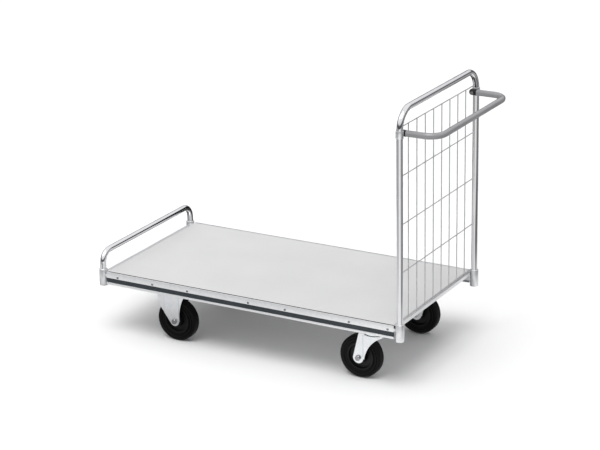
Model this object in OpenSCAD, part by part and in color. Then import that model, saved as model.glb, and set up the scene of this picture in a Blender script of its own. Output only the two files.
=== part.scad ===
// Folding platform cart: a flat laminate platform on two fixed and two swivel
// casters, a low end bar, a tall wire-filled end frame and a fold-down push bar.
// +X points to the push-bar end, +Z up; the origin is on the floor under the middle
// of the whole cart. "left" is the -Y side, "front" the low-bar end.

/* [Platform] */
// Distance between the corner posts along the cart
post_pitch_x = 1230; // [1000:1:1500]
// Distance between the corner posts across the cart
post_pitch_y = 607; // [480:0.1:760]
// Thickness of the platform board
board_t = 12; // [9:1:18]
// Height of the cross bearers between the caster plates and the board
bearer_h = 40; // [34:1:60]
// Width of each cross bearer along the cart
bearer_w = 190; // [160:1:220]
// Distance from the front posts to the middle of the front bearer's rivets
front_rivet_inset = 296.5; // [280:0.5:340]
// Distance from the rear posts to the middle of the rear bearer's rivets
rear_rivet_inset = 118.5; // [118:0.5:180]
// Half spacing of the two rivets at each end of a bearer
rivet_half_pitch = 75.5; // [60:0.5:78]
// Height of the side rails
rail_h = 49.5; // [46:0.5:60]
// Height of the rubber bumper strip set into each side rail
bumper_h = 17; // [12:0.5:20]
// Sheet thickness of the pressed rails and bearers
sheet_t = 3; // [2:0.5:4]
// Visible width of the trim along each end of the board
trim_w = 15; // [10:1:25]
// Gap between the board's long edges and the side rails
edge_gap = 5.5; // [1:0.5:8]

/* [Corner sockets] */
// Outside diameter of the corner sockets
socket_d = 31; // [29:0.5:36]
// Height of the corner sockets
socket_h = 63; // [50:0.5:70]
// How far the sockets stand above the board
socket_proud = 6; // [1:0.5:10]

/* [Tube frames] */
// Outside diameter of the frame tubes
tube_d = 22; // [18:0.1:27]
// Wall of the frame tubes
tube_wall = 2; // [1.5:0.5:3]
// Height of the tall frame's top rail above the board, at its axis
tall_rise = 768; // [600:1:900]
// Bend radius of the tall frame's corners
tall_bend_r = 72; // [50:1:100]
// Height of the low end bar's rail above the board, at its axis
low_rise = 70; // [55:1:200]
// Bend radius of the low end bar's corners
low_bend_r = 45; // [35:1:50]

/* [Wire infill] */
// Diameter of the infill wires
wire_d = 3.5; // [2.5:0.5:5]
// Number of upright wires
upright_wires = 8; // [4:1:10]
// Number of cross wires
cross_wires = 5; // [3:1:8]
// Clear height of the lowest cross wire above the corner sockets
wire_clear = 0.5; // [0.5:0.5:15]
// Distance from the tall frame's top rail axis down to the highest cross wire
top_gap = 63; // [40:1:150]
// Distance of the cross wires in from the plane of the posts
wire_offset = 8.5; // [6:0.5:9]

/* [Push bar] */
// Distance from the highest cross wire down to the push bar's pivots
pivot_drop = 18; // [18:1:80]
// Reach of the push bar from the uprights to its crossbar axis
reach = 132; // [110:1:200]
// Outside diameter of the push bar's plastic sleeve
grip_d = 22; // [20:0.5:30]
// Outside diameter of the steel tube inside the sleeve
core_d = 19; // [17:0.5:19.5]
// Bend radius of the push bar
grip_bend_r = 55; // [40:1:80]
// Height of the clamp bands
clamp_h = 25; // [20:1:27]
// Diameter of the pivot bolts
pivot_d = 8; // [6:0.5:10]

/* [Casters] */
// Wheel diameter
wheel_d = 160; // [130:1:200]
// Tyre width
tyre_w = 40; // [36:1:46]
// Radial depth of the tyre
tyre_t = 28; // [20:1:32]
// Height from the top of the wheel to the top of the caster plate
head_h = 38; // [36:1:50]
// Distance of the wheel centres in from the post line
wheel_inset = 73; // [72:1:110]
// Distance from the front posts to the middle of the fixed casters
fixed_inset = 265; // [240:1:290]
// Distance from the rear posts to the kingpins
kingpin_inset = 131; // [128:1:160]
// How far each swivel wheel trails its kingpin
trail = 56; // [50:1:60]
// How far each fixed wheel's axle sits behind the middle of its plate
fixed_offset = 12.5; // [0:0.5:20]
// Caster plate length
plate_l = 135; // [130:1:140]
// Caster plate width
plate_w = 110; // [100:1:112]
// Length of the wheel hubs
hub_len = 50; // [48:1:54]
// Thickness of the fork legs
leg_t = 3.5; // [2.5:0.5:4]
// Diameter of the axle bolts and kingpins
axle_d = 12; // [10:1:14]
// Diameter of the balls in the swivel heads
ball_d = 7; // [5:0.5:8]

/* [Hidden] */
$fn = 64;
// Clearances
running = 0.05;
between_bodies = 0.3;
hole_play = 0.25;
side_play = 0.5;
// Casters
wheel_r = wheel_d / 2;
plate_z = wheel_d + head_h;
plate_t = 4;
bolt_x = 52.5;
bolt_y = 40;
bolt_d = 10;
head_t = 5.5;
nut_t = 8;
hex_r = 9.8;
leg_in = hub_len / 2 + side_play;
leg_out = leg_in + leg_t;
fixed_eye_r = 18.5;
swivel_eye_r = 20;
panel_t = 1;
ball_ring_r = 30;
balls = 18;
crown_t = 5;
crown_z = plate_z - plate_t - 18.5;
race_z = crown_z + ball_d + 2 * running;
race_t = 3.5;
thread_proud = 3;
skirt_gap = 1.5;
sleeve_d = 20;
bearing_d = 30;
rim_d = wheel_d - 2 * tyre_t;
rim_w = tyre_w - 6;
axle_head_t = 7;
axle_hex_r = 10.5;
// Platform
deck_z = plate_z + bearer_h + board_t;
board_z = deck_z - board_t;
half_y = post_pitch_y / 2;
rail_out = 10;
rail_in = rail_out - sheet_t;
groove = 5;
rail_z = deck_z - rail_h;
lip_h = 8.8;
flange_w = 10;
flange_gap = 1;
bumper_z = rail_z + lip_h;
bumper_gap = 0.2;
rail_gap = 4;
rivet_z = board_z - 4.5;
rivet_d = 5;
rivet_head_d = 9;
rivet_head_t = 2.5;
end_inset = 8;
trim_t = 1.2;
end_rail_w = 30;
end_rail_h = 32;
end_rail_inset = 69;
tab_len = 33;
tab_play = 0.5;
bearer_flange = 23;
// Overall layout along X, centred between the front sockets and the push bar
overall = socket_d / 2 + post_pitch_x + reach + grip_d / 2;
front_x = socket_d / 2 - overall / 2;
rear_x = front_x + post_pitch_x;
front_rivet_x = front_x + front_rivet_inset;
rear_rivet_x = rear_x - rear_rivet_inset;
middle_rivet_x = (front_rivet_x + rear_rivet_x) / 2;
fixed_x = front_x + fixed_inset;
kingpin_x = rear_x - kingpin_inset;
wheel_y = half_y - wheel_inset;
// Sockets and frames
socket_z = deck_z + socket_proud - socket_h;
seat_t = 6;
seat_z = socket_z + seat_t;
tube_r = tube_d / 2;
foot_z = seat_z + between_bodies;
// Wires: how far they sink into each other at a weld, how far the uprights run past
// the outer cross wires, and the outermost uprights' distance from the posts in pitches
weld_sink = 0.4;
wire_over = 3;
edge_pitches = 1.17;
// Push bar
wire_top_z = deck_z + tall_rise - top_gap;
pivot_z = wire_top_z - pivot_drop;
band_t = 2.5;
arm_y = half_y - tube_r - 1 - grip_d / 2;
knuckle_r = grip_d / 2 + 0.5;
knuckle_tail = 16;
sleeve_start = 14;
clamp_face_y = half_y - tube_r - band_t;
boss_d = 18;
pivot_head_r = 6;
pivot_head_t = 3.5;
spigot_len = 25;
core_bore_r = core_d / 2 - 2;

// Point where a line from p touches a circle; side is +1 or -1
function touch(p, c, r, side) =
    let (d = c - p, len = norm(d), a = atan2(d[1], d[0]) + side * asin(r / len))
    p + sqrt(len * len - r * r) * [cos(a), sin(a)];

// Mirrors its children to the left (-Y, side -1) or right (+Y, side +1)
module on_side(side) {
    mirror([0, side < 0 ? 1 : 0, 0]) children();
}

// Extrudes an X-Z outline from y0 to y1
module along_y(y0, y1) {
    translate([0, y1, 0]) rotate([90, 0, 0]) linear_extrude(y1 - y0) children();
}

// Solid rod along +Y from y0 to y1
module rod_y(r, y0, y1) {
    translate([0, y1, 0]) rotate([90, 0, 0]) cylinder(r = r, h = y1 - y0);
}

// Solid U of round bar in the Y-Z plane: two legs up from z0, a rail at z1
module u_bar(d, half_w, z0, z1, bend_r) {
    for (side = [-1, 1]) on_side(side) {
        translate([0, half_w, z0]) cylinder(d = d, h = z1 - bend_r - z0);
        translate([0, half_w - bend_r, z1 - bend_r]) rotate([90, 0, 90])
            rotate_extrude(angle = 90) translate([bend_r, 0]) circle(d = d);
    }
    translate([0, 0, z1]) rod_y(d / 2, bend_r - half_w, half_w - bend_r);
}

// The same U as a tube
module u_tube(d, wall, half_w, z0, z1, bend_r) {
    difference() {
        u_bar(d, half_w, z0, z1, bend_r);
        u_bar(d - 2 * wall, half_w, z0, z1, bend_r);
    }
}

/* Platform */

module platform_board() {
    x0 = front_x + end_inset + trim_t;
    x1 = rear_x - end_inset - trim_t;
    y = half_y + rail_in - edge_gap;
    color("gainsboro") difference() {
        translate([x0, -y, board_z]) cube([x1 - x0, 2 * y, board_t]);
        // rebate at each end, so that the trim lies flush
        for (x = [x0 - 1, x1 - trim_w + trim_t])
            translate([x, -y - 1, deck_z - trim_t])
                cube([trim_w - trim_t + 1, 2 * y + 2, trim_t + 1]);
        for (x = [front_x, rear_x], side = [-1, 1]) {
            // the notch runs on from the socket to the board's edge and end
            translate([x, side * half_y, board_z - 1])
                cylinder(d = socket_d + 2, h = board_t + 2);
            translate([x - socket_d / 2 - 1, side > 0 ? half_y : -half_y - 30, board_z - 1])
                cube([socket_d + 2, 30, board_t + 2]);
        }
    }
}

// Channel trim over one end of the board, flush with its top; dir is +1 for the rear end
module trim(x_end, dir) {
    y = half_y - socket_d / 2 - 1;
    translate([x_end, 0, 0]) mirror([dir < 0 ? 1 : 0, 0, 0])
        color("silver") difference() {
            translate([-trim_w, -y, board_z - trim_t])
                cube([trim_w, 2 * y, board_t + trim_t]);
            translate([-trim_w - 1, -y - 1, board_z])
                cube([trim_w - trim_t + 1, 2 * y + 2, board_t - trim_t]);
        }
}

// Section of a side rail; x is the distance outward from the post line
module rail_section() {
    g_out = rail_out - groove;
    g_in = g_out - sheet_t;
    g0 = bumper_z;
    g1 = bumper_z + bumper_h;
    polygon([
        [rail_out, deck_z], [rail_out, g1], [g_out, g1], [g_out, g0],
        [rail_out, g0], [rail_out, rail_z], [rail_out - flange_w - sheet_t, rail_z],
        [rail_out - flange_w - sheet_t, rail_z + sheet_t], [rail_in, rail_z + sheet_t],
        [rail_in, g0 - sheet_t], [g_in, g0 - sheet_t], [g_in, g1 + sheet_t],
        [rail_in, g1 + sheet_t], [rail_in, deck_z]
    ]);
}

rail_x0 = front_x + socket_d / 2 + rail_gap;
rail_x1 = rear_x - socket_d / 2 - rail_gap;

// Lays a section (outward, up) along the right side between x0 and x1
module along_rail(x0, x1) {
    translate([x0, half_y, 0]) rotate([90, 0, 90]) linear_extrude(x1 - x0) children();
}

rivet_xs = [
    front_x + end_rail_inset,
    front_rivet_x - rivet_half_pitch, front_rivet_x + rivet_half_pitch,
    middle_rivet_x - rivet_half_pitch, middle_rivet_x + rivet_half_pitch,
    rear_rivet_x - rivet_half_pitch, rear_rivet_x + rivet_half_pitch
];

module side_rail(side) {
    color("lightgray") on_side(side) difference() {
        along_rail(rail_x0, rail_x1) rail_section();
        for (x = rivet_xs)
            translate([x, 0, rivet_z]) rod_y(rivet_d / 2, half_y, half_y + rail_out + 1);
    }
}

module bumper(side) {
    color("darkslategray") on_side(side) along_rail(rail_x0, rail_x1)
        translate([rail_out - groove, bumper_z + bumper_gap])
            square([groove - 1, bumper_h - 2 * bumper_gap]);
}

// Corner socket with its tab to the rail; along is +1 where the rail runs to +X
module socket(x, along, side) {
    color("whitesmoke") on_side(side) translate([x, half_y, 0]) difference() {
        union() {
            translate([0, 0, socket_z]) cylinder(d = socket_d, h = socket_h);
            translate([along > 0 ? 0 : -tab_len, rail_in - sheet_t,
                bumper_z + bumper_h + sheet_t])
                cube([tab_len, sheet_t,
                    board_z - bumper_z - bumper_h - sheet_t - tab_play]);
        }
        translate([0, 0, seat_z]) cylinder(r = tube_r + running, h = socket_h);
        translate([0, 0, socket_z - 1]) cylinder(r = 5, h = socket_h);
    }
}

// Cross bearer: an open-topped channel with flanges under the board, centred at x,
// whose end strips are centred on its rivets at rivet_x
module bearer(x, rivet_x, bolted) {
    t = sheet_t;
    wall_x = bearer_w / 2 - bearer_flange;
    end_y = half_y + rail_out - flange_w - sheet_t - flange_gap;
    strip_x = rivet_half_pitch + 8;
    strip_z = bumper_z + bumper_h + t;
    color("silver") difference() {
        union() {
            translate([x, 0, 0]) along_y(-end_y, end_y) polygon([
                [-bearer_w / 2, board_z], [-bearer_w / 2, board_z - t],
                [-wall_x, board_z - t], [-wall_x, plate_z], [wall_x, plate_z],
                [wall_x, board_z - t], [bearer_w / 2, board_z - t],
                [bearer_w / 2, board_z], [wall_x - t, board_z],
                [wall_x - t, plate_z + t], [t - wall_x, plate_z + t],
                [t - wall_x, board_z]
            ]);
            for (side = [-1, 1]) on_side(side) {
                translate([x - wall_x, end_y - t, plate_z])
                    cube([2 * wall_x, t, board_z - plate_z]);
                translate([rivet_x - strip_x, end_y - t, strip_z])
                    cube([2 * strip_x, half_y + rail_in - end_y + t, board_z - strip_z]);
            }
        }
        for (dx = [-rivet_half_pitch, rivet_half_pitch], side = [-1, 1]) on_side(side)
            translate([rivet_x + dx, 0, rivet_z])
                rod_y(rivet_d / 2, end_y - t - 1, half_y + rail_out);
        if (bolted) for (side = [-1, 1]) at_plate_bolts(x, side)
            translate([0, 0, plate_z - 1]) cylinder(d = bolt_d + 2 * hole_play, h = t + 2);
    }
}

// Repeats its children at the four bolts of the caster whose plate is centred at x
module at_plate_bolts(x, side) {
    for (bx = [-bolt_x, bolt_x], by = [-bolt_y, bolt_y])
        translate([x + bx, side * wheel_y + by, 0]) children();
}

// Angle under the board just behind the front trim
module end_rail_front() {
    end_y = half_y + rail_in;
    x = front_x + end_rail_inset - end_rail_w / 2;
    strip_z = bumper_z + bumper_h + sheet_t;
    color("silver") difference() {
        union() {
            translate([x, -end_y, board_z - sheet_t]) cube([end_rail_w, 2 * end_y, sheet_t]);
            translate([x, groove - end_y, board_z - end_rail_h])
                cube([sheet_t, 2 * (end_y - groove), end_rail_h]);
            for (side = [-1, 1]) on_side(side)
                translate([x, end_y - sheet_t, strip_z])
                    cube([end_rail_w, sheet_t, board_z - strip_z]);
        }
        for (side = [-1, 1]) on_side(side)
            translate([front_x + end_rail_inset, 0, rivet_z])
                rod_y(rivet_d / 2, end_y - 10, end_y + 5);
    }
}

module rail_rivets() {
    color("silver") for (x = rivet_xs, side = [-1, 1]) on_side(side)
        translate([x, 0, rivet_z]) {
            rod_y(rivet_d / 2, half_y + rail_in - sheet_t, half_y + rail_out);
            rod_y(rivet_head_d / 2, half_y + rail_out, half_y + rail_out + rivet_head_t);
        }
}

/* Casters */

// Repeats its children at every caster plate bolt
module at_all_plate_bolts() {
    for (x = [fixed_x, kingpin_x], side = [-1, 1]) at_plate_bolts(x, side) children();
}

module caster_bolts() {
    color("silver") at_all_plate_bolts() {
        translate([0, 0, plate_z - plate_t - head_t])
            cylinder(r = hex_r, h = head_t, $fn = 6);
        translate([0, 0, plate_z - plate_t])
            cylinder(d = bolt_d, h = plate_t + sheet_t + nut_t + thread_proud);
    }
}

module caster_nuts() {
    color("silver") at_all_plate_bolts() translate([0, 0, plate_z + sheet_t]) difference() {
        cylinder(r = hex_r, h = nut_t, $fn = 6);
        translate([0, 0, -1]) cylinder(d = bolt_d, h = nut_t + 2);
    }
}

// Caster top plate with its four bolt holes and an opening in the middle
module top_plate(opening_r) {
    difference() {
        translate([-plate_l / 2, -plate_w / 2, plate_z - plate_t])
            cube([plate_l, plate_w, plate_t]);
        for (bx = [-bolt_x, bolt_x], by = [-bolt_y, bolt_y])
            translate([bx, by, plate_z - plate_t - 1])
                cylinder(d = bolt_d + 2 * hole_play, h = plate_t + 2);
        translate([0, 0, plate_z - plate_t - 1]) cylinder(r = opening_r, h = plate_t + 2);
    }
}

// Fixed fork leg outline: wide at the plate, round at the axle, hollow rear edge
module fixed_leg_outline() {
    eye = [fixed_offset, wheel_r];
    knee = [-plate_l / 2 + 20.5, wheel_r + 50];
    top = plate_z - plate_t;
    edge_r = 178;
    translate(eye) circle(r = fixed_eye_r);
    difference() {
        polygon([
            [knee[0] - 11, top], [knee[0] - 11, knee[1] + 35], knee,
            touch(knee, eye, fixed_eye_r, -1), eye, eye + [fixed_eye_r, 0],
            eye + [50, 14], [plate_l / 2 - 10.5, top]
        ]);
        translate(eye + [edge_r + 20.5, 14]) circle(r = edge_r);
    }
}

module fixed_fork(side) {
    top = plate_z - plate_t;
    panel_x = 31;
    color("silver") on_side(side) translate([fixed_x, wheel_y, 0]) difference() {
        union() {
            top_plate(15);
            for (s = [-1, 1]) on_side(s) {
                along_y(leg_in, leg_out) fixed_leg_outline();
                // pressed-out middle panel
                along_y(leg_out, leg_out + panel_t) intersection() {
                    fixed_leg_outline();
                    translate([-panel_x, 0]) square([2 * panel_x, top]);
                }
            }
        }
        translate([fixed_offset, 0, wheel_r])
            rod_y(axle_d / 2, -leg_out - 5, leg_out + 5);
    }
}

// Axle hardware, built round y = 0: bolt head outboard (+Y), nut inboard
module axle_bolt() {
    seat = leg_out + panel_t;
    rod_y(axle_d / 2, -seat - nut_t - thread_proud, seat);
    translate([0, seat + axle_head_t, 0]) rotate([90, 0, 0])
        cylinder(r = axle_hex_r, h = axle_head_t, $fn = 6);
}

module axle_nut() {
    seat = leg_out + panel_t;
    translate([0, -seat, 0]) rotate([90, 0, 0]) difference() {
        cylinder(r = axle_hex_r, h = nut_t, $fn = 6);
        translate([0, 0, -1]) cylinder(d = axle_d, h = nut_t + 2);
    }
}

module axle_sleeve() {
    difference() {
        rod_y(sleeve_d / 2, -leg_in, leg_in);
        rod_y(axle_d / 2, -leg_in - 1, leg_in + 1);
    }
}

module at_fixed_axle(side) {
    on_side(side) translate([fixed_x + fixed_offset, wheel_y, wheel_r]) children();
}

module at_swivel_axle(side) {
    on_side(side) translate([kingpin_x - trail, wheel_y, wheel_r]) children();
}

// Swivel head plate: top plate and the pressed dish that holds the balls
module swivel_plate(side) {
    color("silver") on_side(side) translate([kingpin_x, wheel_y, 0]) {
        top_plate(20);
        rotate_extrude() polygon([
            [axle_d / 2, race_z], [ball_ring_r + 8, race_z],
            [ball_ring_r + 8, crown_z + skirt_gap],
            [ball_ring_r + 11, crown_z + skirt_gap],
            [ball_ring_r + 14, plate_z - plate_t], [ball_ring_r + 10, plate_z - plate_t],
            [ball_ring_r + 7.5, race_z + race_t], [axle_d / 2, race_z + race_t]
        ]);
    }
}

module at_kingpins() {
    for (side = [-1, 1]) translate([kingpin_x, side * wheel_y, 0]) children();
}

module swivel_balls() {
    color("silver") at_kingpins() for (i = [0:balls - 1]) rotate([0, 0, i * 360 / balls])
        translate([ball_ring_r, 0, crown_z + running + ball_d / 2]) sphere(d = ball_d);
}

module kingpins() {
    seat = race_z + race_t;
    low = crown_z - crown_t - between_bodies - nut_t;
    color("silver") at_kingpins() {
        translate([0, 0, low]) cylinder(d = axle_d, h = seat - low);
        translate([0, 0, seat]) cylinder(r = axle_hex_r, h = 6, $fn = 6);
    }
}

module kingpin_nuts() {
    color("silver") at_kingpins()
        translate([0, 0, crown_z - crown_t - between_bodies - nut_t]) difference() {
            cylinder(r = axle_hex_r, h = nut_t, $fn = 6);
            translate([0, 0, -1]) cylinder(d = axle_d, h = nut_t + 2);
        }
}

// Swivel fork leg outline: leans back from the crown to the axle, hollow front edge
module swivel_leg_outline() {
    eye = [-trail, wheel_r];
    top_left = [-trail + 3, crown_z];
    edge_r = crown_z - wheel_r + 24.5;
    translate(eye) circle(r = swivel_eye_r);
    difference() {
        polygon([
            top_left, touch(top_left, eye, swivel_eye_r, -1), eye,
            eye + [swivel_eye_r + 60, -10], [40, crown_z - crown_t], [40, crown_z]
        ]);
        translate(eye + [edge_r + 22, -20]) circle(r = edge_r);
        translate(eye + [0, -60]) square([200, 50]);
    }
}

module swivel_fork(side) {
    crease_x = 19;
    color("silver") on_side(side) translate([kingpin_x, wheel_y, 0]) difference() {
        union() {
            translate([0, 0, crown_z - crown_t]) cylinder(r = ball_ring_r + 13, h = crown_t);
            translate([-trail + 3, -leg_out, crown_z - crown_t])
                cube([trail + 37, 2 * leg_out, crown_t]);
            for (s = [-1, 1]) on_side(s) {
                along_y(leg_in, leg_out) swivel_leg_outline();
                // pressed-out panel round the axle
                along_y(leg_out, leg_out + panel_t) intersection() {
                    swivel_leg_outline();
                    translate([-trail - 40, 0]) square([40 + crease_x, crown_z]);
                }
            }
        }
        translate([-trail, 0, wheel_r]) rod_y(axle_d / 2, -leg_out - 5, leg_out + 5);
        translate([0, 0, crown_z - crown_t - 1])
            cylinder(r = axle_d / 2 + running, h = crown_t + 2);
    }
}

/* Wheels, built round y = 0 with their axis along Y */

// Half section of the tyre in (radius, width): round shoulders and raised side rings
module tyre_section() {
    shoulder = 9;
    r0 = rim_d / 2;
    for (s = [-1, 1]) {
        translate([wheel_r - shoulder, s * (tyre_w / 2 - shoulder)]) circle(r = shoulder);
        translate([r0 + 1.5, s * (rim_w / 2 - 1)]) circle(r = 3.2);
        translate([r0 + tyre_t / 2, s * (tyre_w / 2 - 1.5)]) circle(r = 2.4);
    }
    translate([r0, -rim_w / 2]) square([tyre_t - shoulder, rim_w]);
    translate([r0 + 5, -tyre_w / 2]) square([tyre_t - shoulder - 5, tyre_w]);
    translate([r0, -tyre_w / 2 + shoulder]) square([tyre_t, tyre_w - 2 * shoulder]);
}

module tyre() {
    color("black") rotate([90, 0, 0]) difference() {
        rotate_extrude() tyre_section();
        translate([0, 0, -tyre_w]) cylinder(d = rim_d, h = 2 * tyre_w);
    }
}

module wheel_hub() {
    boss_r = 23;
    rim_t = 6;
    web_t = 10;
    color("dimgray") rotate([90, 0, 0]) rotate_extrude() polygon([
        [bearing_d / 2, -hub_len / 2], [boss_r - 2, -hub_len / 2],
        [boss_r, 2 - hub_len / 2], [boss_r + 3, -web_t / 2],
        [rim_d / 2 - rim_t - 2, -web_t / 2], [rim_d / 2 - rim_t, 1 - rim_w / 2],
        [rim_d / 2, -rim_w / 2], [rim_d / 2, rim_w / 2],
        [rim_d / 2 - rim_t, rim_w / 2 - 1], [rim_d / 2 - rim_t - 2, web_t / 2],
        [boss_r + 3, web_t / 2], [boss_r, hub_len / 2 - 2],
        [boss_r - 2, hub_len / 2], [bearing_d / 2, hub_len / 2]
    ]);
}

module bearing() {
    len = hub_len - 4;
    color("silver") difference() {
        rod_y(bearing_d / 2, -len / 2, len / 2);
        rod_y(sleeve_d / 2 + running, -len, len);
    }
}

/* Tall end frame */

// The tall frame's outside, solid
module tall_frame_bar() {
    translate([rear_x, 0, 0]) u_bar(tube_d, half_y, foot_z, deck_z + tall_rise, tall_bend_r);
}

module tall_frame_tube() {
    color("silver") translate([rear_x, 0, 0])
        u_tube(tube_d, tube_wall, half_y, foot_z, deck_z + tall_rise, tall_bend_r);
}

module wire_infill() {
    z0 = deck_z + socket_proud + wire_clear + wire_d / 2;
    z1 = wire_top_z;
    layer = wire_d - weld_sink;
    pitch = post_pitch_y / (upright_wires - 1 + 2 * edge_pitches);
    color("darkgray") difference() {
        union() {
            for (i = [0:cross_wires - 1])
                translate([rear_x - wire_offset, 0, z0 + i * (z1 - z0) / (cross_wires - 1)])
                    rod_y(wire_d / 2, -half_y, half_y);
            for (i = [0:upright_wires - 1])
                translate([rear_x - wire_offset + layer,
                    (i - (upright_wires - 1) / 2) * pitch, z0 - wire_over])
                    cylinder(d = wire_d, h = z1 - z0 + 2 * wire_over);
        }
        tall_frame_bar();
    }
}

module clamp(side) {
    color("silver") difference() {
        on_side(side) translate([rear_x, 0, pivot_z]) difference() {
            union() {
                translate([0, half_y, -clamp_h / 2])
                    cylinder(r = tube_r + band_t, h = clamp_h);
                rod_y(boss_d / 2, clamp_face_y, half_y - tube_r / 2);
            }
            rod_y(pivot_d / 2, clamp_face_y - 1, half_y);
        }
        tall_frame_bar();
    }
}

/* Push bar: built pointing straight out along +X from the pivots */

module pivot_bolts() {
    inner_y = arm_y - knuckle_r;
    color("silver") for (side = [-1, 1]) on_side(side) translate([rear_x, 0, pivot_z]) {
        rod_y(pivot_d / 2, inner_y - between_bodies, half_y - tube_r);
        rod_y(pivot_head_r, inner_y - between_bodies - pivot_head_t, inner_y - between_bodies);
    }
}

module push_bar(d, wall) {
    translate([rear_x, 0, pivot_z]) rotate([0, 90, 0])
        u_tube(d, wall, arm_y, sleeve_start, reach, grip_bend_r);
}

module push_bar_core() {
    color("silver") push_bar(core_d, core_d / 2 - core_bore_r);
}

module push_bar_sleeve() {
    color("gray") push_bar(grip_d, (grip_d - core_d) / 2);
}

// Black end piece of the push bar, turning on the pivot bolt
module knuckle(side) {
    color("black") on_side(side) translate([rear_x, arm_y, pivot_z]) difference() {
        union() {
            translate([knuckle_r - knuckle_tail, 0, 0]) sphere(r = knuckle_r);
            translate([knuckle_r - knuckle_tail, 0, 0]) rotate([0, 90, 0])
                cylinder(r = knuckle_r, h = sleeve_start - knuckle_r + knuckle_tail);
            rotate([0, 90, 0])
                cylinder(r = core_bore_r, h = sleeve_start + spigot_len);
        }
        // flats beside the clamp and under the bolt head
        translate([-50, clamp_face_y - between_bodies - arm_y, -50]) cube(100);
        translate([-50, -knuckle_r - 100, -50]) cube([100, 100, 100]);
        rod_y(pivot_d / 2 + running, -50, 50);
    }
}

/* Low end bar */

module low_bar_tube() {
    color("silver") translate([front_x, 0, 0])
        u_tube(tube_d, tube_wall, half_y, foot_z, deck_z + low_rise, low_bend_r);
}

platform_board();
trim(front_x + end_inset, -1);  // trim_front
trim(rear_x - end_inset, 1);  // trim_rear
side_rail(-1);  // side_rail_left
side_rail(1);  // side_rail_right
bumper(-1);  // bumper_left
bumper(1);  // bumper_right
socket(front_x, 1, -1);  // socket_front_left
socket(front_x, 1, 1);  // socket_front_right
socket(rear_x, -1, -1);  // socket_rear_left
socket(rear_x, -1, 1);  // socket_rear_right
bearer(fixed_x, front_rivet_x, true);  // bearer_front
bearer(middle_rivet_x, middle_rivet_x, false);  // bearer_middle
bearer(kingpin_x, rear_rivet_x, true);  // bearer_rear
end_rail_front();
rail_rivets();
caster_bolts();
caster_nuts();
fixed_fork(-1);  // fixed_fork_left
fixed_fork(1);  // fixed_fork_right
color("silver") for (side = [-1, 1]) at_fixed_axle(side) axle_bolt();  // fixed_axle_bolts
color("silver") for (side = [-1, 1]) at_fixed_axle(side) axle_nut();  // fixed_axle_nuts
color("silver") for (side = [-1, 1]) at_fixed_axle(side) axle_sleeve();  // fixed_axle_sleeves
swivel_plate(-1);  // swivel_plate_left
swivel_plate(1);  // swivel_plate_right
swivel_balls();
kingpins();
kingpin_nuts();
swivel_fork(-1);  // swivel_fork_left
swivel_fork(1);  // swivel_fork_right
color("silver") at_swivel_axle(-1) axle_bolt();  // swivel_axle_bolt_left
color("silver") at_swivel_axle(1) axle_bolt();  // swivel_axle_bolt_right
color("silver") at_swivel_axle(-1) axle_nut();  // swivel_axle_nut_left
color("silver") at_swivel_axle(1) axle_nut();  // swivel_axle_nut_right
color("silver") at_swivel_axle(-1) axle_sleeve();  // swivel_sleeve_left
color("silver") at_swivel_axle(1) axle_sleeve();  // swivel_sleeve_right
at_fixed_axle(-1) tyre();  // tyre_front_left
at_fixed_axle(1) tyre();  // tyre_front_right
at_swivel_axle(-1) tyre();  // tyre_rear_left
at_swivel_axle(1) tyre();  // tyre_rear_right
at_fixed_axle(-1) wheel_hub();  // hub_front_left
at_fixed_axle(1) wheel_hub();  // hub_front_right
at_swivel_axle(-1) wheel_hub();  // hub_rear_left
at_swivel_axle(1) wheel_hub();  // hub_rear_right
at_fixed_axle(-1) bearing();  // bearing_front_left
at_fixed_axle(1) bearing();  // bearing_front_right
at_swivel_axle(-1) bearing();  // bearing_rear_left
at_swivel_axle(1) bearing();  // bearing_rear_right
tall_frame_tube();
wire_infill();
clamp(-1);  // clamp_left
clamp(1);  // clamp_right
pivot_bolts();
push_bar_core();
push_bar_sleeve();
knuckle(-1);  // knuckle_left
knuckle(1);  // knuckle_right
low_bar_tube();
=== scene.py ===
from math import cos, pi, radians, sin, sqrt

import bmesh
import bpy
from mathutils import Matrix, Vector


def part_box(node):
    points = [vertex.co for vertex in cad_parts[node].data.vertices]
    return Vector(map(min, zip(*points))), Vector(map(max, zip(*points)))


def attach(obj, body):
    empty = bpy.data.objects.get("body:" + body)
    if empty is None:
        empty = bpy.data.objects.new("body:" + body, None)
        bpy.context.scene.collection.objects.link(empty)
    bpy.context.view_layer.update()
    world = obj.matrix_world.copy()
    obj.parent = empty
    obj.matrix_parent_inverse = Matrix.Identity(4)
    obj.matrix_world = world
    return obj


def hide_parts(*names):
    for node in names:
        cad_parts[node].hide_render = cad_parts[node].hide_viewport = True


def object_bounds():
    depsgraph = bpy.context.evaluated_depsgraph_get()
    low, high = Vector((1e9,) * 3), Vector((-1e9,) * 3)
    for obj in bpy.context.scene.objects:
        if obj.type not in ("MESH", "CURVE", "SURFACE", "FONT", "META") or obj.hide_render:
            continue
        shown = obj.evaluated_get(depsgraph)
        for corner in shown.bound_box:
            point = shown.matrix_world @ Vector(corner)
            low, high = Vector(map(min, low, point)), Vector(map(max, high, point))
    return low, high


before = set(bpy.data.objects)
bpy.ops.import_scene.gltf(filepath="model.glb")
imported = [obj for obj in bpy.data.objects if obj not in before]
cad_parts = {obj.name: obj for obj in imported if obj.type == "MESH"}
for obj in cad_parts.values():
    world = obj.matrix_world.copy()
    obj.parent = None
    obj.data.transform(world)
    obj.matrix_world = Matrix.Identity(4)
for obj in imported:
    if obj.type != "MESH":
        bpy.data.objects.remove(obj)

cad_low, cad_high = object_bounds()
MM = 0.001

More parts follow.
